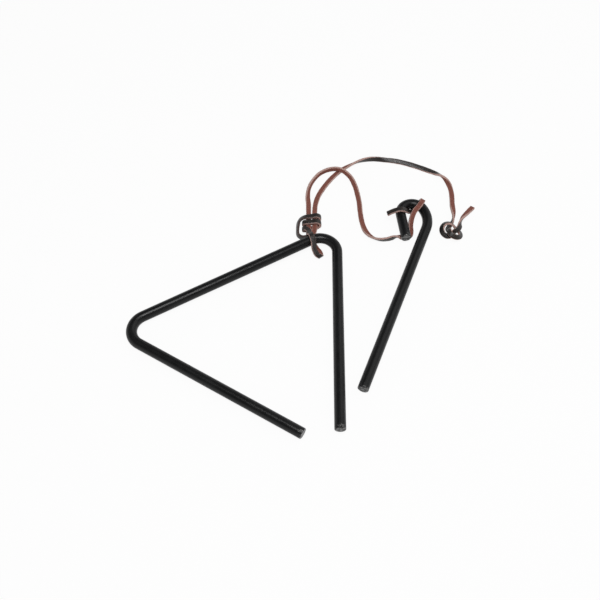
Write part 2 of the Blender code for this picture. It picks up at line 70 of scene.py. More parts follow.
def skin(name, rings, along, around, finish):
    """Smooth mesh over a row of closed rings, with flat ends and a map of places along and around it."""
    count, size = rings.shape[:2]
    corner = np.arange(count * size).reshape(count, size)
    beside = np.roll(corner, -1, axis=1)
    quads = np.stack((corner[:-1], beside[:-1], beside[1:], corner[1:]), axis=2).reshape(-1, 4)
    ends = [corner[0, ::-1].tolist(), corner[-1].tolist()]
    mesh = bpy.data.meshes.new(name)
    mesh.from_pydata(rings.reshape(-1, 3), [], quads.tolist() + ends)
    row, lane = np.divmod(np.arange((count - 1) * size), size)
    places = np.stack((along[row], around[lane], along[row], around[lane + 1],
                       along[row + 1], around[lane + 1], along[row + 1], around[lane]), axis=1)
    middle = around[size // 4]
    caps = [(along[0], middle)] * size + [(along[-1], middle)] * size
    surface = mesh.uv_layers.new(name="surface")
    surface.uv.foreach_set("vector", np.concatenate((places.ravel(), np.ravel(caps))))
    mesh.polygons.foreach_set("use_smooth", [True] * len(quads) + [False] * 2)
    edges = np.empty(2 * len(mesh.edges), dtype=np.int32)
    mesh.edges.foreach_get("vertices", edges)
    first, second = edges.reshape(-1, 2).T // size
    mesh.edges.foreach_set("use_edge_sharp", (first == second) & np.isin(first, (0, count - 1)))
    mesh.materials.append(finish)
    piece = bpy.data.objects.new(name, mesh)
    bpy.context.scene.collection.objects.link(piece)
    return piece


def bent_axis(start, ahead, upright, runs):
    """Middle line of a bent bar: straight runs, each with the radius and angle of the bend that ends it."""
    places = [start.copy()]
    ways = [ahead.copy()]
    for straight, radius, angle in runs:
        for share in np.linspace(0.0, 1.0, max(2, round(straight / STRAIGHT_STEP)))[1:]:
            places.append(start + ahead * (straight * share))
            ways.append(ahead.copy())
        start = places[-1]
        side = upright.cross(ahead) * math.copysign(1.0, angle)
        for share in np.linspace(0.0, 1.0, max(1, round(abs(angle) / BEND_STEP)))[1:]:
            turn = Matrix.Rotation(angle * share, 3, upright)
            places.append(start + side * radius - turn @ side * radius)
            ways.append(turn @ ahead)
        start = places[-1]
        ahead = ways[-1]
    return places, ways


def bar(name, axis, upright, finish):
    """Round bar along its middle line, with eased ends and a mask of how far its paint is worn there."""
    places, ways = axis
    run = np.concatenate(([0.0], np.cumsum([(b - a).length for a, b in zip(places, places[1:])])))
    eased = np.radians((0, 22, 45, 68, 90))
    near = END_EASE * (1 - np.sin(eased))[::-1]
    between = run[(run > END_EASE) & (run < run[-1] - END_EASE)]
    stops = np.unique(np.concatenate((near, between, run[-1] - near)))
    centre = np.array([np.interp(stops, run, [p[k] for p in places]) for k in range(3)]).T
    way = np.array([np.interp(stops, run, [w[k] for w in ways]) for k in range(3)]).T
    side = np.cross(np.array(upright), way)
    side /= np.linalg.norm(side, axis=1, keepdims=True)
    inset = np.clip(END_EASE - np.minimum(stops, run[-1] - stops), 0.0, END_EASE)
    radius = BAR_RADIUS - END_EASE + np.sqrt(np.maximum(END_EASE ** 2 - inset ** 2, 0.0))
    turn = np.linspace(0.0, 2 * math.pi, BAR_SIDES + 1)
    aside = np.cos(turn[:-1])[None, :, None]
    above = np.sin(turn[:-1])[None, :, None]
    circle = aside * side[:, None] + above * np.array(upright)
    rings = centre[:, None] + radius[:, None, None] * circle
    piece = skin(name, rings, stops, turn * BAR_RADIUS, finish)
    worn = np.clip(1 - np.minimum(stops, run[-1] - stops) / WORN_REACH, 0.0, 1.0)
    mask = piece.data.attributes.new("worn", "FLOAT", "POINT")
    mask.data.foreach_set("value", np.repeat(worn, BAR_SIDES))
    return piece


def add(tree, kind, **settings):
    """Node with its settings, and with numbers, colours or links on its named inputs."""
    made = tree.nodes.new(kind)
    wires = settings.pop("wires", {})
    for key, value in settings.items():
        setattr(made, key, value)
    for key, value in wires.items():
        if isinstance(value, bpy.types.NodeSocket):
            tree.links.new(value, made.inputs[key])
        else:
            made.inputs[key].default_value = value
    return made


def mottled_group():
    """Soft patches from handling, as a value from Low to High over the surface."""
    group = bpy.data.node_groups.new("mottled", "ShaderNodeTree")
    group.interface.new_socket("Place", in_out="INPUT", socket_type="NodeSocketVector")
    for label, start in (("Patch", 12.0), ("Low", 0.0), ("High", 1.0)):
        socket = group.interface.new_socket(label, in_out="INPUT", socket_type="NodeSocketFloat")
        socket.default_value = start
    group.interface.new_socket("Value", in_out="OUTPUT", socket_type="NodeSocketFloat")
    given = group.nodes.new("NodeGroupInput").outputs
    scale = add(group, "ShaderNodeMath", operation="DIVIDE", wires={0: 1.0, 1: given["Patch"]})
    cloud = add(group, "ShaderNodeTexNoise", wires={"Vector": given["Place"], "Scale": scale.outputs[0],
                                                   "Detail": 5.0, "Roughness": 0.62})
    spread = add(group, "ShaderNodeMapRange",
                 wires={"Value": cloud.outputs[0], "From Min": 0.34, "From Max": 0.66,
                        "To Min": given["Low"], "To Max": given["High"]})
    put = group.nodes.new("NodeGroupOutput")
    group.links.new(spread.outputs[0], put.inputs["Value"])
    return group


mottled = mottled_group()


def satin_black(name, black, dusty, gloss, chipped):
    """Sprayed black paint with orange peel, over the bar's rolled lines, worn to bare steel at the ends."""
    made = bpy.data.materials.new(name)
    made.use_nodes = True
    tree = made.node_tree
    shader = tree.nodes["Principled BSDF"]
    surface = add(tree, "ShaderNodeUVMap", uv_map="surface")
    in_mm = add(tree, "ShaderNodeVectorMath", operation="SCALE",
                wires={0: surface.outputs[0], "Scale": 1000.0})
    solid = add(tree, "ShaderNodeTexCoord")
    solid_mm = add(tree, "ShaderNodeVectorMath", operation="SCALE",
                   wires={0: solid.outputs["Object"], "Scale": 1000.0})
    rubbed = add(tree, "ShaderNodeGroup", node_tree=mottled,
                 wires={"Place": solid_mm.outputs[0], "Patch": 26.0})
    paint = add(tree, "ShaderNodeMix", data_type="RGBA",
                wires={0: rubbed.outputs[0], 6: (*black, 1.0), 7: (*dusty, 1.0)})
    speck = add(tree, "ShaderNodeTexNoise",
                wires={"Vector": solid_mm.outputs[0], "Scale": 0.42, "Detail": 8.0, "Roughness": 0.68})
    worn = add(tree, "ShaderNodeAttribute", attribute_name="worn")
    exposed = add(tree, "ShaderNodeMath", operation="MULTIPLY_ADD",
                  wires={0: worn.outputs["Fac"], 1: chipped, 2: speck.outputs[0]})
    chip = add(tree, "ShaderNodeMapRange",
               wires={"Value": exposed.outputs[0], "From Min": 0.70, "From Max": 0.80})
    colour = add(tree, "ShaderNodeMix", data_type="RGBA",
                 wires={0: chip.outputs[0], 6: paint.outputs[2], 7: (0.17, 0.168, 0.165, 1.0)})
    satin = add(tree, "ShaderNodeGroup", node_tree=mottled,
                wires={"Place": solid_mm.outputs[0], "Patch": 9.0,
                       "Low": gloss - 0.05, "High": gloss + 0.07})
    peel = add(tree, "ShaderNodeTexNoise",
               wires={"Vector": solid_mm.outputs[0], "Scale": 0.9, "Detail": 3.0})
    stretch = add(tree, "ShaderNodeVectorMath", operation="MULTIPLY",
                  wires={0: in_mm.outputs[0], 1: (0.03, 1.6, 1.0)})
    rolled = add(tree, "ShaderNodeTexNoise",
                 wires={"Vector": stretch.outputs[0], "Scale": 1.0, "Detail": 2.0})
    skin_height = add(tree, "ShaderNodeMath", operation="MULTIPLY_ADD",
                      wires={0: rolled.outputs[0], 1: 0.5, 2: peel.outputs[0]})
    height = add(tree, "ShaderNodeMath", operation="MULTIPLY_ADD",
                 wires={0: chip.outputs[0], 1: -1.2, 2: skin_height.outputs[0]})
    relief = add(tree, "ShaderNodeBump", wires={"Strength": 0.8, "Distance": 0.04 * MM,
                                                "Height": height.outputs[0]})
    shader.inputs["Specular IOR Level"].default_value = 0.26
    tree.links.new(colour.outputs[2], shader.inputs["Base Color"])
    tree.links.new(satin.outputs[0], shader.inputs["Roughness"])
    tree.links.new(chip.outputs[0], shader.inputs["Metallic"])
    tree.links.new(relief.outputs[0], shader.inputs["Normal"])
    return made


triangle_paint = satin_black("triangle_paint", (0.0035, 0.0037, 0.004), (0.008, 0.0083, 0.0086), 0.30, 0.22)
first_way = (FAR_CORNER - FAR_END).normalized()
triangle_upright = (FAR_CORNER - FAR_END).cross(HANG_CORNER - FAR_CORNER).normalized()
triangle_upright *= math.copysign(1.0, triangle_upright.z)
corner_cut = SIDE_BEND / math.tan(CORNER_ANGLE / 2)
corner_turn = CORNER_ANGLE - math.pi
triangle_axis = bent_axis(FAR_END, first_way, triangle_upright, [
    (SIDE_LENGTH - FAR_SIDE_CUT - corner_cut, SIDE_BEND, corner_turn),
    (SIDE_LENGTH - 2 * corner_cut, SIDE_BEND, corner_turn),
    (SIDE_LENGTH - NEAR_SIDE_CUT - corner_cut, SIDE_BEND, 0.0)])
triangle = bar("triangle_bar", triangle_axis, triangle_upright, triangle_paint)
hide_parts("triangle_rod")
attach(triangle, "triangle")

# Striker: a shorter length of the same bar, its top turned back in two bends to an open hook with a leg.
# It is painted with the triangle, and its tip has lost a little more paint from striking.
STRIKER_TIP = Vector((0.0637126, -0.0794796, 0.0047625))
NECK_START = Vector((0.1303333, 0.0879307, 0.0075001))
STRIKER_RUN = 180.2 * MM
NECK_RADIUS = 28.8 * MM
NECK_TURN = 48.7
HOOK_RADIUS = 11.35 * MM
HOOK_TURN = 159.2
HOOK_LEG = 28.8 * MM

striker_paint = satin_black("striker_paint", (0.0033, 0.0035, 0.0038), (0.0075, 0.0078, 0.0082), 0.31, 0.24)
striker_way = (NECK_START - STRIKER_TIP).normalized()
striker_side = striker_way.cross(Vector((0.0, 0.0, 1.0))).normalized()
striker_upright = striker_side.cross(striker_way)
striker_axis = bent_axis(STRIKER_TIP, striker_way, striker_upright, [
    (STRIKER_RUN, NECK_RADIUS, math.radians(NECK_TURN)),
    (0.0, HOOK_RADIUS, math.radians(HOOK_TURN)),
    (HOOK_LEG, HOOK_RADIUS, 0.0)])
striker = bar("striker_bar", striker_axis, striker_upright, striker_paint)
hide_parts("striker_rod")
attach(striker, "striker")

# Lace: one length of flat leather lace, 4.8 by 2.2 mm, dyed dark and polished on its grain side.
# The flesh side is red-brown suede and the cut edges are paler. It is tied by hand and has no fittings.
LACE_HALF_WIDTH = 2.4 * MM
LACE_HALF_DEPTH = 1.1 * MM
LACE_CORNER = 0.5 * MM
LACE_CROWN = 0.12 * MM
FLOOR_GAP = 0.05 * MM
SEAT_GAP = 0.3 * MM
LACE_ORIGIN = np.array((0.04674096, 0.08755003, 0.0))
UP = np.array((0.0, 0.0, 1.0))
FLESH_UP = (0.0, 0.0, -1.0)
FLOOR_LAYER = FLOOR_GAP + LACE_HALF_DEPTH


def flat(x, y):
    """Plan place from the hang corner, in mm."""
    return Vector((x, y)) * MM


def heading(angle):
    """Way in the floor plane, by its angle in degrees."""
    return Vector((math.cos(math.radians(angle)), math.sin(math.radians(angle))))


def station(place, height, grain):
    """One place on the lace's middle line, with the way that its grain side faces."""
    return (place[0], place[1], height, *grain)


def rest_height(grain):
    """Height of the middle line where the lace lies on the floor with its grain side facing this way."""
    level = abs(grain[2]) / math.hypot(*grain)
    upright = math.hypot(grain[0], grain[1]) / math.hypot(*grain)
    wide = LACE_HALF_WIDTH - LACE_CORNER
    deep = LACE_HALF_DEPTH - LACE_CORNER
    crown = LACE_CROWN * max(0.0, -grain[2]) / math.hypot(*grain)
    return FLOOR_GAP + LACE_CORNER + upright * wide + level * deep + crown


def unit(vectors):
    """Vectors of length one."""
    return vectors / np.linalg.norm(vectors, axis=-1, keepdims=True)


def lying(route):
    """Stations of a stretch on the floor: plan place and lift in mm, and the grain's roll in degrees."""
    places = np.array([(x, y, 0.0) for x, y, *_ in route]) * MM
    runs = unit(np.diff(places, axis=0))
    ahead = unit(np.concatenate((runs[:1], runs[:-1] + runs[1:], runs[-1:])))
    left = np.cross(UP, ahead)
    made = []
    for place, beside, (_, _, lift, roll) in zip(places, left, route):
        grain = math.cos(math.radians(roll)) * UP + math.sin(math.radians(roll)) * beside
        made.append(station(place, rest_height(grain) + lift * MM, grain))
    return made


# Lacing on the hook: a cut tail over the leg, a turn under the bend, back over it and down under the leg.
# It is the lace's own first end, pulled tight by hand on the bare bar. It holds by its turns alone.
STRIKER_HEADING = -111.7
NECK_OUT = STRIKER_HEADING + 90
HOOK_OUT = NECK_OUT + NECK_TURN
LEG_OUT = HOOK_OUT + HOOK_TURN
NECK_CENTRE = flat(83.6, 0.4) - heading(NECK_OUT) * NECK_RADIUS
HOOK_CENTRE = NECK_CENTRE + heading(HOOK_OUT) * (NECK_RADIUS - HOOK_RADIUS)
LEG_WAY = heading(LEG_OUT + 90)
LEG_SIDE = Vector((-LEG_WAY.y, LEG_WAY.x))
HITCH_FROM_END = 6.0 * MM
LEG_PASS = HOOK_CENTRE + heading(LEG_OUT) * HOOK_RADIUS + LEG_WAY * (HOOK_LEG - HITCH_FROM_END)
HITCH_BAND = 155.0
HITCH_UNDER = 50.0
HITCH_OVER = 10.0
TAIL_WAY = heading(189.0)
TAIL_LENGTH = 13.0 * MM
SEAT_REACH = BAR_RADIUS + SEAT_GAP + LACE_HALF_DEPTH
FLEX_POINT = flat(52.5, -6.6) + Vector((0.0, LACE_HALF_DEPTH))
tip_in_plan = Vector(STRIKER_TIP[:2]) - Vector(LACE_ORIGIN[:2])
striker_slope = striker_way.z / Vector(striker_way[:2]).length


def hook_axis(turn):
    """Plan place and height of the hook's middle line, by the degrees turned along its bend."""
    place = HOOK_CENTRE + heading(HOOK_OUT + turn) * HOOK_RADIUS
    from_tip = (place - tip_in_plan).dot(Vector(striker_way[:2]).normalized())
    return place, BAR_RADIUS + from_tip * striker_slope


def round_hook(turn, angle, face):
    """Place on a turn about the hook, by the angle up from its outer side, with the grain out or in."""
    axis, height = hook_axis(turn)
    out = heading(HOOK_OUT + turn) * math.cos(math.radians(angle))
    rise = math.sin(math.radians(angle))
    grain = (out.x * face, out.y * face, rise * face)
    return station(axis + out * SEAT_REACH, height + rise * SEAT_REACH, grain)


band_axis, band_height = hook_axis(HITCH_BAND)
hitch = []
for share, drop in ((1.0, 4.2), (0.75, 2.4), (0.5, 1.0)):
    hitch.append(station(band_axis + TAIL_WAY * (TAIL_LENGTH * share), band_height + SEAT_REACH - drop * MM,
                         (-0.25 * share, 0.0, 1.0)))
hitch += [round_hook(HITCH_BAND, angle, 1) for angle in (80, 105, 130)]
under_axis, _ = hook_axis(HITCH_UNDER)
inside = under_axis - heading(HOOK_OUT + HITCH_UNDER) * (BAR_RADIUS + LACE_HALF_WIDTH)
hitch.append(station(Vector(hitch[-1][:2]).lerp(inside, 0.45), band_height + 0.5 * MM, (0.7, 0.1, 0.7)))
wraps = (-120, -90, -60, -30, 0, 30, 60, 90, 118)
for k, angle in enumerate(wraps):
    hitch.append(round_hook(HITCH_UNDER + (HITCH_OVER - HITCH_UNDER) * k / (len(wraps) - 1), angle, -1))
for along, aside, height, grain in (
        (22.0, 12.9, 11.4, (-0.1, 0.5, -0.85)), (15.5, 9.0, 8.2, (-0.35, 0.4, -0.85)),
        (9.5, 7.3, 5.2, (-0.5, 0.3, -0.8)), (4.5, 6.9, 2.9, (-0.35, 0.2, -0.9)),
        (1.2, 5.6, 1.5, (0.0, 0.1, -1.0))):
    hitch.append(station(LEG_PASS - LEG_WAY * (along * MM) + LEG_SIDE * (aside * MM), height * MM, grain))
for aside in (2.6, 0.0, -2.6):
    hitch.append(station(LEG_PASS + LEG_SIDE * (aside * MM), FLOOR_LAYER, FLESH_UP))
turning = (0.0, -0.75, -0.66)
hitch.append(station(LEG_PASS.lerp(FLEX_POINT, 0.62), rest_height(turning), turning))

# Striker strand: the free stretch from the hook to the knot by the triangle, lying on the floor.
# A row is x and y from the hang corner and lift off the floor, in mm, and the roll of the grain in degrees.
striker_strand = lying([
    (52.5, -6.6, 0.0, 90), (47.3, -8.3, 0.0, 95), (41.6, -8.9, 0.0, 108), (36.3, -7.7, 0.0, 125),
    (31.6, -4.4, 0.0, 145), (27.9, 1.0, 0.0, 165), (25.7, 7.6, 0.0, 180), (24.3, 14.8, 0.0, 192),
    (23.4, 25.0, 0.0, 200), (22.9, 37.2, 0.0, 206), (21.5, 48.4, 0.0, 212), (19.3, 59.5, 0.0, 225),
    (14.6, 70.0, 1.2, 248), (5.8, 76.4, 3.8, 264), (-4.0, 79.0, 1.6, 268), (-13.9, 75.1, 0.2, 268),
    (-21.0, 66.0, 0.0, 262), (-25.3, 56.0, 0.0, 250), (-26.8, 44.0, 0.0, 222), (-26.2, 34.0, 1.2, 190)])

# Knot by the bar: the strand makes a side turn on edge, then two wraps round both strands, and leaves as
# the loop. The loop's other end goes straight through under the wraps and leaves as the hanger.
KNOT_CENTRE = flat(-26.2, 8.0)
FIRST_BAND = 8.2 * MM
SECOND_BAND = 0.8 * MM
SIDE_TURN = 5.2 * MM
SIDE_TURN_DROP = 9.2 * MM
LAYER = 2 * LACE_HALF_DEPTH + 0.6 * MM
LANE = 2 * LACE_HALF_WIDTH + 0.9 * MM
LANE_LAYER = FLOOR_LAYER + LAYER
TOP_LAYER = LANE_LAYER + LAYER
LEFT_EDGE = -LACE_HALF_WIDTH
RIGHT_EDGE = LANE + LACE_HALF_WIDTH


def in_knot(x, y, height, grain=(0.0, 0.0, 1.0)):
    """Place in the knot, from where the strand goes under the wraps."""
    return station(KNOT_CENTRE + Vector((x, y)), height, grain)


def on_edge(x, y, side, lean, lift):
    """Place where the lace leans out to a side, with its grain down at no lean and up at half a turn."""
    out = heading(side) * math.sin(math.radians(lean))
    grain = (out.x, out.y, -math.cos(math.radians(lean)))
    return in_knot(x, y, rest_height(grain) + lift * MM, grain)


def knot_edge(x, y_from, y_to, start, end):
    """Turn round one edge of the knot, out of its top or its underside."""
    made = []
    for share in np.linspace(0.0, 1.0, 5):
        way = heading(start + (end - start) * share)
        made.append(in_knot(x + way.x * LAYER, y_from + (y_to - y_from) * share, LANE_LAYER + way.y * LAYER,
                            (way.x, 0.0, way.y)))
    return made


def under_pass(y_from, y_to):
    """Places below both strands, from the right edge to the left one."""
    start = Vector((RIGHT_EDGE, y_from))
    end = Vector((LEFT_EDGE, y_to))
    return [in_knot(*start.lerp(end, share), FLOOR_LAYER, FLESH_UP) for share in (0.2, 0.5, 0.8)]


knot = [in_knot(0.0, y * MM, LANE_LAYER, FLESH_UP) for y in (19.0, 12.0, 4.0, -2.0, -6.8)]
turn_start = len(knot)
for side, lean, lift in ((0, 22, 1.95), (-30, 52, 0.9), (-60, 78, 0.2), (-90, 90, 0.0), (-120, 94, 0.0),
                         (-150, 98, 0.0), (-180, 104, 0.0)):
    place = heading(side) * SIDE_TURN
    knot.append(on_edge(place.x - SIDE_TURN, place.y - SIDE_TURN_DROP, side, lean, lift))
for right, below, side, lean, lift in ((0.0, 13.2, 180, 108, 0.2), (0.3, 9.2, 175, 116, 1.0),
                                       (1.2, 5.4, 150, 126, 2.3), (3.8, 2.5, 120, 146, 3.9),
                                       (7.8, 1.2, 100, 170, 5.2)):
    knot.append(on_edge(right * MM - 2 * SIDE_TURN, FIRST_BAND - below * MM, side, lean, lift))
turn_end = len(knot)
knot.append(in_knot(LANE / 2, FIRST_BAND - 0.4 * MM, TOP_LAYER))
knot += knot_edge(RIGHT_EDGE, FIRST_BAND + 0.4 * MM, FIRST_BAND - 0.9 * MM, 90, -90)
knot += under_pass(FIRST_BAND - 1.2 * MM, SECOND_BAND + 1.4 * MM)
knot += knot_edge(LEFT_EDGE, SECOND_BAND + 1.1 * MM, SECOND_BAND - 0.3 * MM, 270, 90)
knot.append(in_knot(LANE / 2, SECOND_BAND + 0.2 * MM, TOP_LAYER))
knot += knot_edge(RIGHT_EDGE, SECOND_BAND + 0.7 * MM, SECOND_BAND - 1.4 * MM, 90, -90)
knot += under_pass(SECOND_BAND - 1.7 * MM, SECOND_BAND - 5.0 * MM)
knot += knot_edge(LEFT_EDGE, SECOND_BAND - 5.2 * MM, SECOND_BAND - 7.8 * MM, 270, 90)
knot.append(in_knot(-1.0 * MM, -8.6 * MM, TOP_LAYER + 0.3 * MM))
knot.append(in_knot(-0.1 * MM, -11.0 * MM, TOP_LAYER + 0.8 * MM))
through = []
for x, y, share in ((0.58, -11.6, 0.3), (0.85, -8.6, 0.7), (1.0, -5.0, 0.97), (1.0, -1.0, 1.0),
                    (1.0, 5.0, 1.0), (1.0, 12.0, 1.0), (1.05, 18.0, 1.0)):
    through.append(in_knot(LANE * x, y * MM, FLOOR_LAYER + LAYER * share, FLESH_UP))

# Loop on the hanging side: over the bar, down to a slack fold inside the triangle and back under the bar.
# Nothing fixes it there, so the triangle turns in it and it can be pushed along the bar.
BAR_HEADING = 180 - 90.69 - 60.0
BAR_WAY = heading(BAR_HEADING)
BAR_SIDE = Vector((-BAR_WAY.y, BAR_WAY.x))
LOOP_POINT = BAR_WAY * (-27.5 * MM)
LOOP_SLACK = 0.5 * MM
LOOP_LEAN = 0.19
LOOP_REACH = BAR_RADIUS + LOOP_SLACK + LACE_HALF_DEPTH
BAR_HEIGHT = FLOOR_GAP + 2 * LACE_HALF_DEPTH + LOOP_SLACK + BAR_RADIUS
FOLD = -(BAR_RADIUS + 12.5 * MM)
FOLD_RISE = 1.8 * MM


def in_loop(along, across, height, grain):
    """Place in the loop, along the bar in mm and across it, with the grain side's way across and up."""
    face = BAR_SIDE * grain[0]
    place = LOOP_POINT + BAR_WAY * (along * MM) + BAR_SIDE * across
    return station(place, height, (face.x, face.y, grain[1]))


loop = [in_loop(2.0, BAR_RADIUS + 2.7 * MM, BAR_HEIGHT + 1.3 * MM, (0.6, 0.8))]
for angle in (48, 69, 90, 111, 132):
    way = heading(angle)
    loop.append(in_loop(0.4 + LOOP_LEAN * LOOP_REACH * way.x / MM, LOOP_REACH * way.x,
                        BAR_HEIGHT + LOOP_REACH * way.y, way))
loop.append(in_loop(-3.2, FOLD * 0.7, BAR_HEIGHT, (-0.6, 0.8)))
for angle, along in ((60, -2.2), (20, -1.0), (-20, 0.2), (-60, 1.0), (-90, 1.4)):
    way = heading(angle)
    loop.append(in_loop(along, FOLD + FOLD_RISE - FOLD_RISE * 1.1 * way.x,
                        FLOOR_LAYER + FOLD_RISE * (1 + way.y), (-way.x, way.y)))
for across, along in ((-7.0, 1.8), (0.0, 2.0), (6.0, 2.8)):
    loop.append(in_loop(along, across * MM, FLOOR_LAYER, (0.0, -1.0)))

# Hanger: the long free stretch that the triangle hangs by, lying on the floor in an open arch.
# It leaves the knot with its flesh side up and rolls over to its dark grain side along the arch.
hanger = lying([
    (-19.6, 33.6, 0.8, 182), (-17.0, 44.8, 0.0, 182), (-12.0, 55.4, 0.0, 184), (-6.2, 64.8, 0.0, 186),
    (0.3, 73.3, 0.0, 190), (7.8, 80.8, 0.0, 200), (16.0, 86.5, 0.0, 222), (24.6, 91.3, 0.0, 246),
    (33.6, 94.1, 0.0, 272), (42.6, 94.5, 0.0, 300), (51.7, 93.5, 0.0, 322), (60.7, 92.3, 0.0, 330),
    (69.4, 89.9, 0.0, 332), (80.7, 85.5, 0.0, 336), (91.6, 80.5, 0.0, 346), (101.0, 75.6, 0.0, 372),
    (107.4, 69.6, 0.0, 430), (111.4, 62.2, 0.0, 485), (113.3, 53.4, 0.0, 520), (113.5, 44.6, 0.0, 535),
    (112.8, 35.0, 0.0, 545), (112.6, 25.0, 0.0, 575), (111.5, 16.5, 0.0, 630)])

# End knot: an overhand knot drawn up loosely, with a short tail cut square.
# It is tied in the lace itself and keeps the hanger from slipping through a hand or off a nail.
END_CENTRE = flat(108.2, 0.3)
END_HEADING = 58.0
END_LEAN = heading(52.0)
END_RING = 5.66 * MM
END_OPEN = math.radians(22.0)
END_LOBE = LACE_HALF_WIDTH + 0.6 * MM
END_LIFT = LACE_HALF_WIDTH + 0.3 * MM


def overhand(s):
    """Place on the knot: twice round its centre, three times in and out and over and under."""
    side = heading(END_HEADING + math.degrees(2 * s))
    reach = END_RING + END_LOBE * math.cos(3 * s) + 2.4 * MM * math.sin(s / 2) ** 8
    grain = (side.x * END_LEAN.x, side.y * END_LEAN.x, END_LEAN.y)
    return station(END_CENTRE + side * reach, rest_height(grain) + END_LIFT * (1 - math.sin(3 * s)), grain)


end_knot = [overhand(s) for s in np.linspace(END_OPEN, 2 * math.pi - END_OPEN, 31)]
end_knot += lying([
    (116.9, 9.0, 4.0, 280), (120.2, 16.0, 2.2, 232), (125.8, 23.8, 0.8, 200), (131.9, 31.2, 0.1, 186)])


SPAN_STEPS = 40


def smooth(stations):
    """Dense curve through the stations, by a cubic whose slopes come from each one's neighbours."""
    stations = np.array(stations)
    chord = np.linalg.norm(np.diff(stations[:, :3], axis=0), axis=1)
    slopes = np.gradient(stations, np.concatenate(([0.0], np.cumsum(chord))), axis=0)
    t = np.linspace(0.0, 1.0, SPAN_STEPS, endpoint=False)[:, None]
    dense = []
    for a, b, out, into, span in zip(stations, stations[1:], slopes, slopes[1:], chord):
        rise = (2 * t ** 3 - 3 * t ** 2 + 1) * a + (3 * t ** 2 - 2 * t ** 3) * b
        bend = (t ** 3 - 2 * t ** 2 + t) * out + (t ** 3 - t ** 2) * into
        dense.append(rise + bend * span)
    return np.concatenate((*dense, stations[-1:]))


stretches = [hitch, striker_strand, knot + loop + through, hanger, end_knot]
dense = smooth([row for rows in stretches for row in rows])
dense = np.hstack((dense, unit(np.gradient(dense[:, :3], axis=0))))
run = np.concatenate(([0.0], np.cumsum(np.linalg.norm(np.diff(dense[:, :3], axis=0), axis=1))))
firsts = np.cumsum([0] + [len(rows) for rows in stretches[:-1]])
cuts = [run[SPAN_STEPS * first] for first in firsts] + [run[-1]]
darkened = (turn_start - 1, turn_start + 1, turn_end - 2, turn_end + 1)
handled_run = [run[SPAN_STEPS * (firsts[2] + k)] for k in darkened]

# Lace as laid: one strap, cut from a hide with square edges and a slight crown on its grain side.
# Its section runs from the middle of the flesh side round to the same place. The side turn of the knot has
# raw edges that are dark from handling.
KNOT_STEP = 0.8 * MM
STRAND_STEP = 1.4 * MM
half_section = [(0.0, -LACE_HALF_DEPTH), (-LACE_HALF_WIDTH / 2, -LACE_HALF_DEPTH)]
for middle, angles in ((-1, (270, 240, 210, 180)), (1, (180, 150, 120, 90))):
    for angle in angles:
        way = heading(angle) * LACE_CORNER
        half_section.append((LACE_CORNER - LACE_HALF_WIDTH + way.x,
                             middle * (LACE_HALF_DEPTH - LACE_CORNER) + way.y))
half_section.append((-LACE_HALF_WIDTH / 2, LACE_HALF_DEPTH + 0.7 * LACE_CROWN))
half_section.append((0.0, LACE_HALF_DEPTH + LACE_CROWN))
section = np.array(half_section + [(-x, y) for x, y in half_section[-2:0:-1]])
round_section = np.linalg.norm(np.diff(np.vstack((section, section[:1])), axis=0), axis=1)
round_section = np.concatenate(([0.0], np.cumsum(round_section))) / round_section.sum()


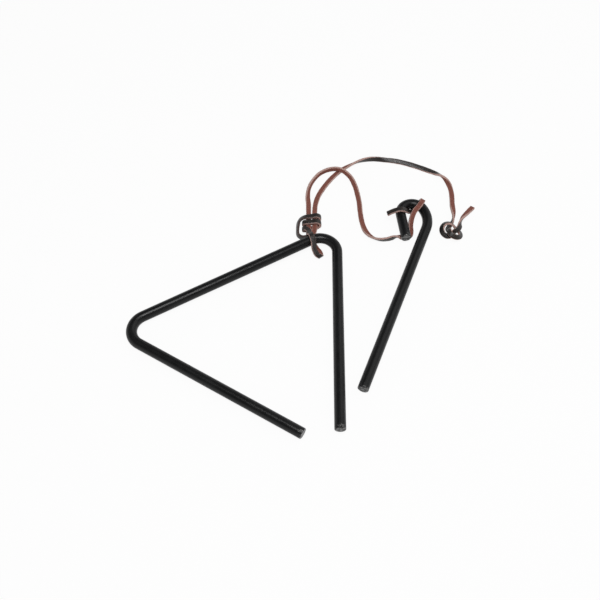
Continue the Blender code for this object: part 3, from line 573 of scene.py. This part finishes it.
def leather():
    """Lace leather: polished dark grain, suede flesh side and pale cut edges, by the place round it."""
    made = bpy.data.materials.new("lace_leather")
    made.use_nodes = True
    tree = made.node_tree
    shader = tree.nodes["Principled BSDF"]
    surface = add(tree, "ShaderNodeUVMap", uv_map="surface")
    in_mm = add(tree, "ShaderNodeVectorMath", operation="MULTIPLY",
                wires={0: surface.outputs[0], 1: (1000.0, 13.0, 1.0)})
    axes = add(tree, "ShaderNodeSeparateXYZ", wires={0: surface.outputs[0]})
    from_grain = add(tree, "ShaderNodeMath", operation="SUBTRACT", wires={0: axes.outputs[1], 1: 0.5})
    from_grain = add(tree, "ShaderNodeMath", operation="ABSOLUTE", wires={0: from_grain.outputs[0]})
    ragged = add(tree, "ShaderNodeTexNoise",
                 wires={"Vector": in_mm.outputs[0], "Scale": 0.9, "Detail": 4.0})
    border = add(tree, "ShaderNodeMath", operation="MULTIPLY_ADD",
                 wires={0: ragged.outputs[0], 1: 0.06, 2: from_grain.outputs[0]})
    raw = add(tree, "ShaderNodeMapRange",
              wires={"Value": border.outputs[0], "From Min": 0.195, "From Max": 0.215})
    suede = add(tree, "ShaderNodeMapRange",
                wires={"Value": border.outputs[0], "From Min": 0.36, "From Max": 0.40})
    worn = add(tree, "ShaderNodeGroup", node_tree=mottled, wires={"Place": in_mm.outputs[0], "Patch": 7.0})
    dyed = add(tree, "ShaderNodeMix", data_type="RGBA",
               wires={0: worn.outputs[0], 6: (0.009, 0.007, 0.0065, 1.0), 7: (0.026, 0.018, 0.015, 1.0)})
    fibres_place = add(tree, "ShaderNodeVectorMath", operation="MULTIPLY",
                       wires={0: in_mm.outputs[0], 1: (0.35, 2.2, 1.0)})
    fibres = add(tree, "ShaderNodeTexNoise",
                 wires={"Vector": fibres_place.outputs[0], "Scale": 1.0, "Detail": 6.0, "Roughness": 0.65})
    edge = add(tree, "ShaderNodeMix", data_type="RGBA",
               wires={0: fibres.outputs[0], 6: (0.26, 0.13, 0.105, 1.0), 7: (0.66, 0.47, 0.42, 1.0)})
    flesh = add(tree, "ShaderNodeMix", data_type="RGBA",
                wires={0: fibres.outputs[0], 6: (0.085, 0.024, 0.017, 1.0), 7: (0.34, 0.120, 0.086, 1.0)})
    cut = add(tree, "ShaderNodeMix", data_type="RGBA",
              wires={0: suede.outputs[0], 6: edge.outputs[2], 7: flesh.outputs[2]})
    handled = add(tree, "ShaderNodeAttribute", attribute_name="handled")
    cut = add(tree, "ShaderNodeMix", data_type="RGBA",
              wires={0: handled.outputs["Fac"], 6: cut.outputs[2], 7: (0.022, 0.014, 0.012, 1.0)})
    colour = add(tree, "ShaderNodeMix", data_type="RGBA",
                 wires={0: raw.outputs[0], 6: dyed.outputs[2], 7: cut.outputs[2]})
    polish = add(tree, "ShaderNodeGroup", node_tree=mottled,
                 wires={"Place": in_mm.outputs[0], "Patch": 3.0, "Low": 0.28, "High": 0.44})
    rough = add(tree, "ShaderNodeMix", wires={0: raw.outputs[0], 2: polish.outputs[0], 3: 0.88})
    pores = add(tree, "ShaderNodeTexVoronoi", feature="SMOOTH_F1",
                wires={"Vector": in_mm.outputs[0], "Scale": 2.4})
    crease_place = add(tree, "ShaderNodeVectorMath", operation="MULTIPLY",
                       wires={0: in_mm.outputs[0], 1: (1.3, 0.25, 1.0)})
    creases = add(tree, "ShaderNodeTexNoise",
                  wires={"Vector": crease_place.outputs[0], "Scale": 1.0, "Detail": 3.0})
    grain_height = add(tree, "ShaderNodeMath", operation="MULTIPLY_ADD",
                       wires={0: pores.outputs[0], 1: -0.5, 2: creases.outputs[0]})
    height = add(tree, "ShaderNodeMix",
                 wires={0: raw.outputs[0], 2: grain_height.outputs[0], 3: fibres.outputs[0]})
    relief = add(tree, "ShaderNodeBump",
                 wires={"Strength": 0.9, "Distance": 0.12 * MM, "Height": height.outputs[0]})
    tree.links.new(colour.outputs[2], shader.inputs["Base Color"])
    tree.links.new(rough.outputs[0], shader.inputs["Roughness"])
    tree.links.new(relief.outputs[0], shader.inputs["Normal"])
    return made


lace_leather = leather()


def lay_lace(name, k, step, *nodes):
    """Mesh of one stretch between its cuts, and its middle line."""
    stops = np.linspace(cuts[k], cuts[k + 1], round((cuts[k + 1] - cuts[k]) / step) + 1)
    rows = np.array([np.interp(stops, run, column) for column in dense.T]).T
    grain = unit(rows[:, 3:6])
    rows[:, 2] = np.maximum(rows[:, 2], [rest_height(g) for g in grain])
    places = rows[:, :3] + LACE_ORIGIN
    across = unit(np.cross(rows[:, 6:], grain))
    face = unit(np.cross(across, rows[:, 6:]))
    trim = 1 + 0.02 * np.sin(stops * 410) + 0.015 * np.sin(stops * 937 + 1.0)
    rings = (places[:, None] + across[:, None] * section[None, :, :1] * trim[:, None, None]
             + face[:, None] * section[None, :, 1:])
    piece = skin(name, rings, stops, round_section, lace_leather)
    handled = np.interp(stops, handled_run, (0.0, 0.9, 0.9, 0.0))
    mask = piece.data.attributes.new("handled", "FLOAT", "POINT")
    mask.data.foreach_set("value", np.repeat(handled, len(section)))
    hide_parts(*nodes)
    return piece, places


on_hook, _ = lay_lace("lace_on_hook", 0, KNOT_STEP, "striker_hitch")
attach(on_hook, "striker")

to_striker, path = lay_lace("lace_to_striker", 1, STRAND_STEP, "striker_strand")
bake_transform(to_striker)

on_bar, _ = lay_lace("lace_on_bar", 2, KNOT_STEP, "bar_knot_upper", "bar_loop", "bar_knot_lower")
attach(on_bar, "thong")

to_end, path = lay_lace("lace_hanger", 3, STRAND_STEP, "hanger_strand")
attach(to_end, "thong")
knotted_end, _ = lay_lace("lace_end_knot", 4, KNOT_STEP, "end_knot")
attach(knotted_end, "thong")

# Floor and light: a seamless white sheet under a soft lamp overhead, with a weak broad one at the side
# and even light all round that is darker overhead.
floor_mesh = bpy.data.meshes.new("floor")
FLOOR_REACH = 4.0
floor_corners = [(x * FLOOR_REACH, y * FLOOR_REACH, 0.0) for x, y in ((-1, -1), (1, -1), (1, 1), (-1, 1))]
floor_mesh.from_pydata(floor_corners, [], [(0, 1, 2, 3)])
floor = bpy.data.objects.new("floor", floor_mesh)
bpy.context.scene.collection.objects.link(floor)
white = bpy.data.materials.new("white_sheet")
white.use_nodes = True
tree = white.node_tree
tree.nodes["Principled BSDF"].inputs["Base Color"].default_value = (0.9, 0.9, 0.9, 1.0)
tree.nodes["Principled BSDF"].inputs["Roughness"].default_value = 0.9
rays = add(tree, "ShaderNodeLightPath")
seen = add(tree, "ShaderNodeMath", operation="ADD",
           wires={0: rays.outputs["Is Camera Ray"], 1: rays.outputs["Is Glossy Ray"]})
seen = add(tree, "ShaderNodeMath", operation="ADD", use_clamp=True,
           wires={0: seen.outputs[0], 1: rays.outputs["Is Transmission Ray"]})
lift = add(tree, "ShaderNodeMath", operation="MULTIPLY", wires={0: seen.outputs[0], 1: 0.93})
glow = add(tree, "ShaderNodeEmission", wires={"Strength": 1.0})
blend = add(tree, "ShaderNodeMixShader", wires={0: lift.outputs[0]})
tree.links.new(tree.nodes["Principled BSDF"].outputs[0], blend.inputs[1])
tree.links.new(glow.outputs[0], blend.inputs[2])
tree.links.new(blend.outputs[0], tree.nodes["Material Output"].inputs["Surface"])
floor_mesh.materials.append(white)

sky = bpy.data.worlds.new("even_light")
sky.use_nodes = True
tree = sky.node_tree
view_way = add(tree, "ShaderNodeTexCoord")
height = add(tree, "ShaderNodeSeparateXYZ", wires={0: view_way.outputs["Generated"]})
level = add(tree, "ShaderNodeMapRange",
            wires={"Value": height.outputs[2], "From Min": 0.1, "From Max": 0.6,
                   "To Min": 1.0, "To Max": 0.12})
tree.links.new(level.outputs[0], tree.nodes["Background"].inputs["Strength"])
tree.nodes["Background"].inputs["Color"].default_value = (1.0, 1.0, 1.0, 1.0)
bpy.context.scene.world = sky

for name, place, width, depth, energy in (("top_lamp", (0.02, -0.22, 1.2), 0.5, 0.5, 8.0),
                                          ("side_lamp", (0.9, 0.45, 1.15), 1.5, 1.1, 5.0)):
    lamp_light = bpy.data.lights.new(name, "AREA")
    lamp_light.shape = "RECTANGLE"
    lamp_light.size = width
    lamp_light.size_y = depth
    lamp_light.energy = energy
    lamp = bpy.data.objects.new(name, lamp_light)
    lamp.location = place
    lamp.rotation_euler = (Vector((0.02, 0.0, 0.0)) - lamp.location).to_track_quat("-Z", "Y").to_euler()
    bpy.context.scene.collection.objects.link(lamp)

# View: the camera stands in front and looks down at the object, as in the photograph.
# Its place and lens come from a fit to the bars' ends and corners.
eye = bpy.data.cameras.new("view")
eye.sensor_width = 36.0
eye.lens = 46.737
camera = bpy.data.objects.new("view", eye)
camera.location = (0.01234, -0.3754, 0.5742)
camera.rotation_euler = (math.radians(34.0233), 0.0, 0.0)
bpy.context.scene.collection.objects.link(camera)
bpy.context.scene.camera = camera
bpy.context.scene.view_settings.view_transform = "Standard"
